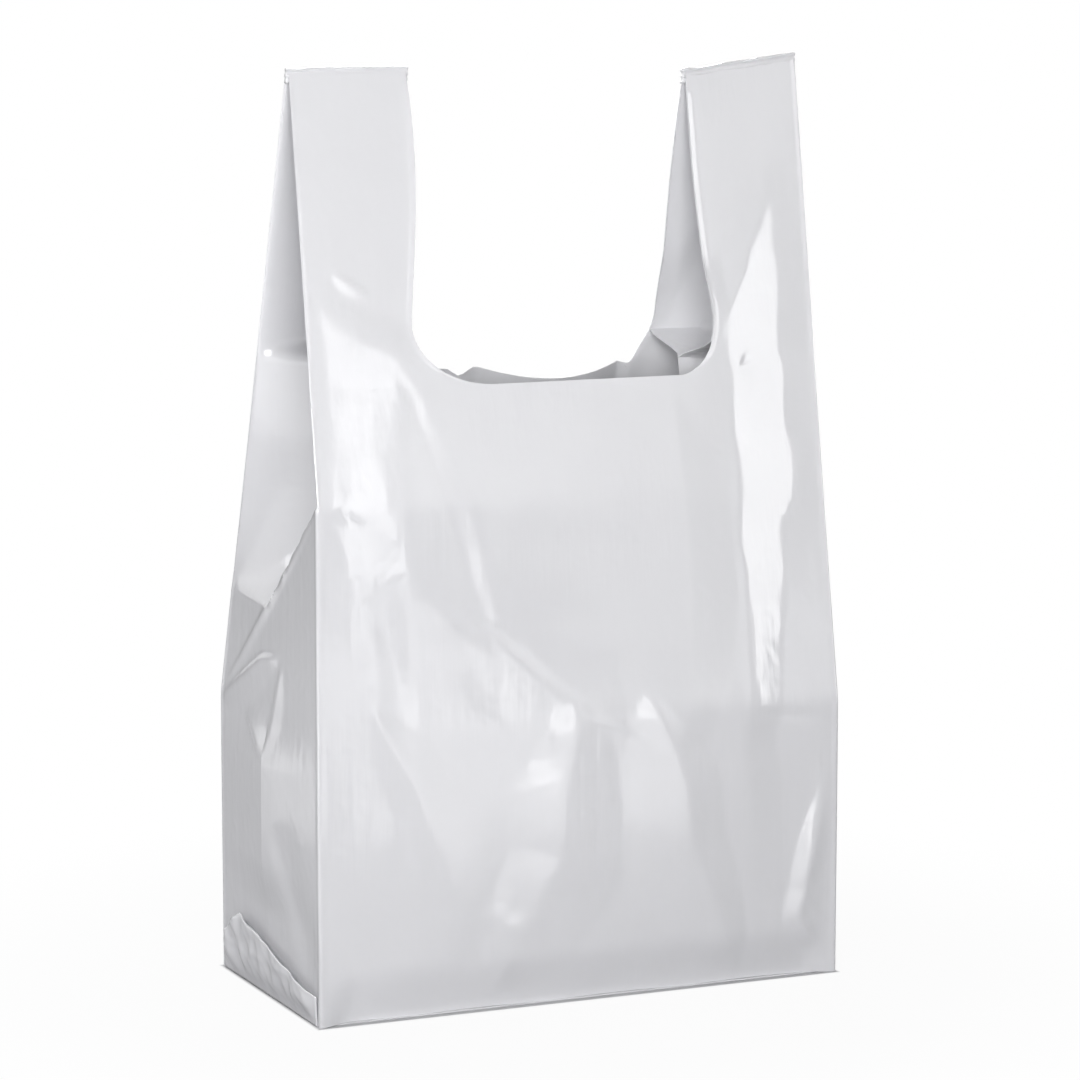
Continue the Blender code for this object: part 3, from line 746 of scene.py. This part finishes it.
def buildStage():
    reach = stage["floorSize"] / 2
    mesh = bpy.data.meshes.new("floor")
    corners = [(-reach, -reach, 0), (reach, -reach, 0), (reach, reach, 0), (-reach, reach, 0)]
    mesh.from_pydata(corners, [], [(0, 1, 2, 3)])
    floor = bpy.data.objects.new("floor", mesh)
    bpy.context.scene.collection.objects.link(floor)
    material = bpy.data.materials.new("mattPalePaper")
    material.use_nodes = True
    shader = material.node_tree.nodes["Principled BSDF"]
    shader.inputs["Base Color"].default_value = linear(stage["floorColour"])
    shader.inputs["Roughness"].default_value = stage["floorRoughness"]
    shader.inputs["Specular IOR Level"].default_value = stage["floorSpecular"]
    mesh.materials.append(material)

    # the paper reads white to the camera away from the bag and keeps part of its real shadow near it; round
    # the base its glow is masked off, a painted contact shadow that shows the grey paper as a thin dark line
    tree = material.node_tree
    place = addNode(tree, "ShaderNodeTexCoord").outputs["Object"]
    fromMiddle = addNode(tree, "ShaderNodeVectorMath", {"operation": "ABSOLUTE"}, {0: place})
    past = addNode(tree, "ShaderNodeVectorMath", {"operation": "SUBTRACT"}, {
        0: fromMiddle.outputs["Vector"], 1: (halfWidth, halfDepth, 0),
    })
    parts = addNode(tree, "ShaderNodeSeparateXYZ", inputs={"Vector": past.outputs["Vector"]})
    outFrom = addNode(tree, "ShaderNodeMath", {"operation": "MAXIMUM"}, {
        0: parts.outputs["X"], 1: parts.outputs["Y"],
    })
    # painted contact shadow: no glow within a few millimetres of the base's outline, so the grey paper shows
    # there as a dark line
    paintedContactShadow = addNode(tree, "ShaderNodeMapRange", {"interpolation_type": "SMOOTHSTEP"}, {
        "Value": outFrom.outputs["Value"], "From Min": 0.0, "From Max": stage["paintedContactShadowReach"],
    })
    far = addNode(tree, "ShaderNodeVectorMath", {"operation": "LENGTH"}, {0: place})
    share = addNode(tree, "ShaderNodeMapRange", {"interpolation_type": "SMOOTHSTEP"}, {
        "Value": far.outputs["Value"], "From Min": stage["glowFrom"], "From Max": stage["glowTo"],
        "To Min": stage["nearGlow"], "To Max": 1.0,
    })
    ray = addNode(tree, "ShaderNodeLightPath")
    toCamera = addNode(tree, "ShaderNodeMath", {"operation": "MULTIPLY"}, {
        0: share.outputs["Result"], 1: ray.outputs["Is Camera Ray"],
    })
    factor = addNode(tree, "ShaderNodeMath", {"operation": "MULTIPLY"}, {
        0: toCamera.outputs["Value"], 1: paintedContactShadow.outputs["Result"],
    })
    glow = addNode(tree, "ShaderNodeEmission", inputs={"Color": (1, 1, 1, 1), "Strength": 1.0})
    mixed = addNode(tree, "ShaderNodeMixShader", inputs={
        0: factor.outputs["Value"], 1: shader.outputs["BSDF"], 2: glow.outputs["Emission"],
    })
    tree.links.new(mixed.outputs["Shader"], tree.nodes["Material Output"].inputs["Surface"])

    # white to the camera and in reflections, dim as a light
    world = bpy.data.worlds.new("studio")
    bpy.context.scene.world = world
    world.use_nodes = True
    tree = world.node_tree
    ray = addNode(tree, "ShaderNodeLightPath")
    seen = addNode(tree, "ShaderNodeMath", {"operation": "MAXIMUM"}, {
        0: ray.outputs["Is Camera Ray"], 1: ray.outputs["Is Glossy Ray"],
    })
    through = addNode(tree, "ShaderNodeMath", {"operation": "MAXIMUM"}, {
        0: seen.outputs["Value"], 1: ray.outputs["Is Transmission Ray"],
    })
    level = addNode(tree, "ShaderNodeMapRange", inputs={
        "Value": through.outputs["Value"], "To Min": stage["worldLevel"], "To Max": 1.0,
    })
    sky = tree.nodes["Background"]
    sky.inputs["Color"].default_value = (1, 1, 1, 1)
    tree.links.new(level.outputs["Result"], sky.inputs["Strength"])
    for name, numbers in lamps.items():
        softLamp(name, *numbers)
    for name, numbers in reflectedCards.items():
        card = softLamp(name, *numbers)
        card.visible_diffuse = False
        card.visible_camera = False


view = {
    "azimuth": 23.84,       # degrees to the left of the front
    "elevation": 8.505,
    "distance": 2.37198,
    "target": (0, 0, 0.254167),
    "shift": (0.0062, -0.0135),     # across and up, square to the line of sight
    "lens": 144.65,
}


def buildCamera():
    turn, rise = radians(view["azimuth"]), radians(view["elevation"])
    outward = Vector((-sin(turn) * cos(rise), -cos(turn) * cos(rise), sin(rise)))
    across = Vector((cos(turn), -sin(turn), 0))
    up = outward.cross(across)
    acrossShift, upShift = view["shift"]
    place = Vector(view["target"]) + outward * view["distance"] + across * acrossShift + up * upShift
    data = bpy.data.cameras.new("photoView")
    data.sensor_width = 36
    data.lens = view["lens"]
    data.clip_start, data.clip_end = 0.05, 50
    camera = bpy.data.objects.new("photoView", data)
    bpy.context.scene.collection.objects.link(camera)
    camera.matrix_world = Matrix.Translation(place) @ Matrix((across, up, outward)).transposed().to_4x4()
    bpy.context.scene.camera = camera


film = blownFilm()
print("film halves")
filmHalf("film_front", front, film)
filmHalf("film_back", back, film)

print("welds, ears and base")
for side, word in ((left, "left"), (right, "right")):
    handleSeal("handle_seal_" + word, side, film)
    endEar("end_ear_" + word, side, film)
baseFilm("base_film", film)
reachX, reachY = halfWidth - baseLook["margin"], halfDepth - baseLook["margin"]
halfWeld = baseLook["weldWidth"] / 2
weldOutline = [(-reachX, -halfWeld), (reachX, -halfWeld), (reachX, halfWeld), (-reachX, halfWeld)]
basePly("bottom_weld", weldOutline, baseLook["weldRise"], film)
rightFold = [(reachX, -reachY), (reachX, reachY), (reachX - reachY, 0)]
basePly("end_fold_right", rightFold, baseLook["foldRise"], film)
basePly("end_fold_left", [(-x, y) for x, y in rightFold[::-1]], baseLook["foldRise"], film)

print("stage and camera")
buildStage()
buildCamera()
bpy.context.scene.view_settings.view_transform = "Standard"
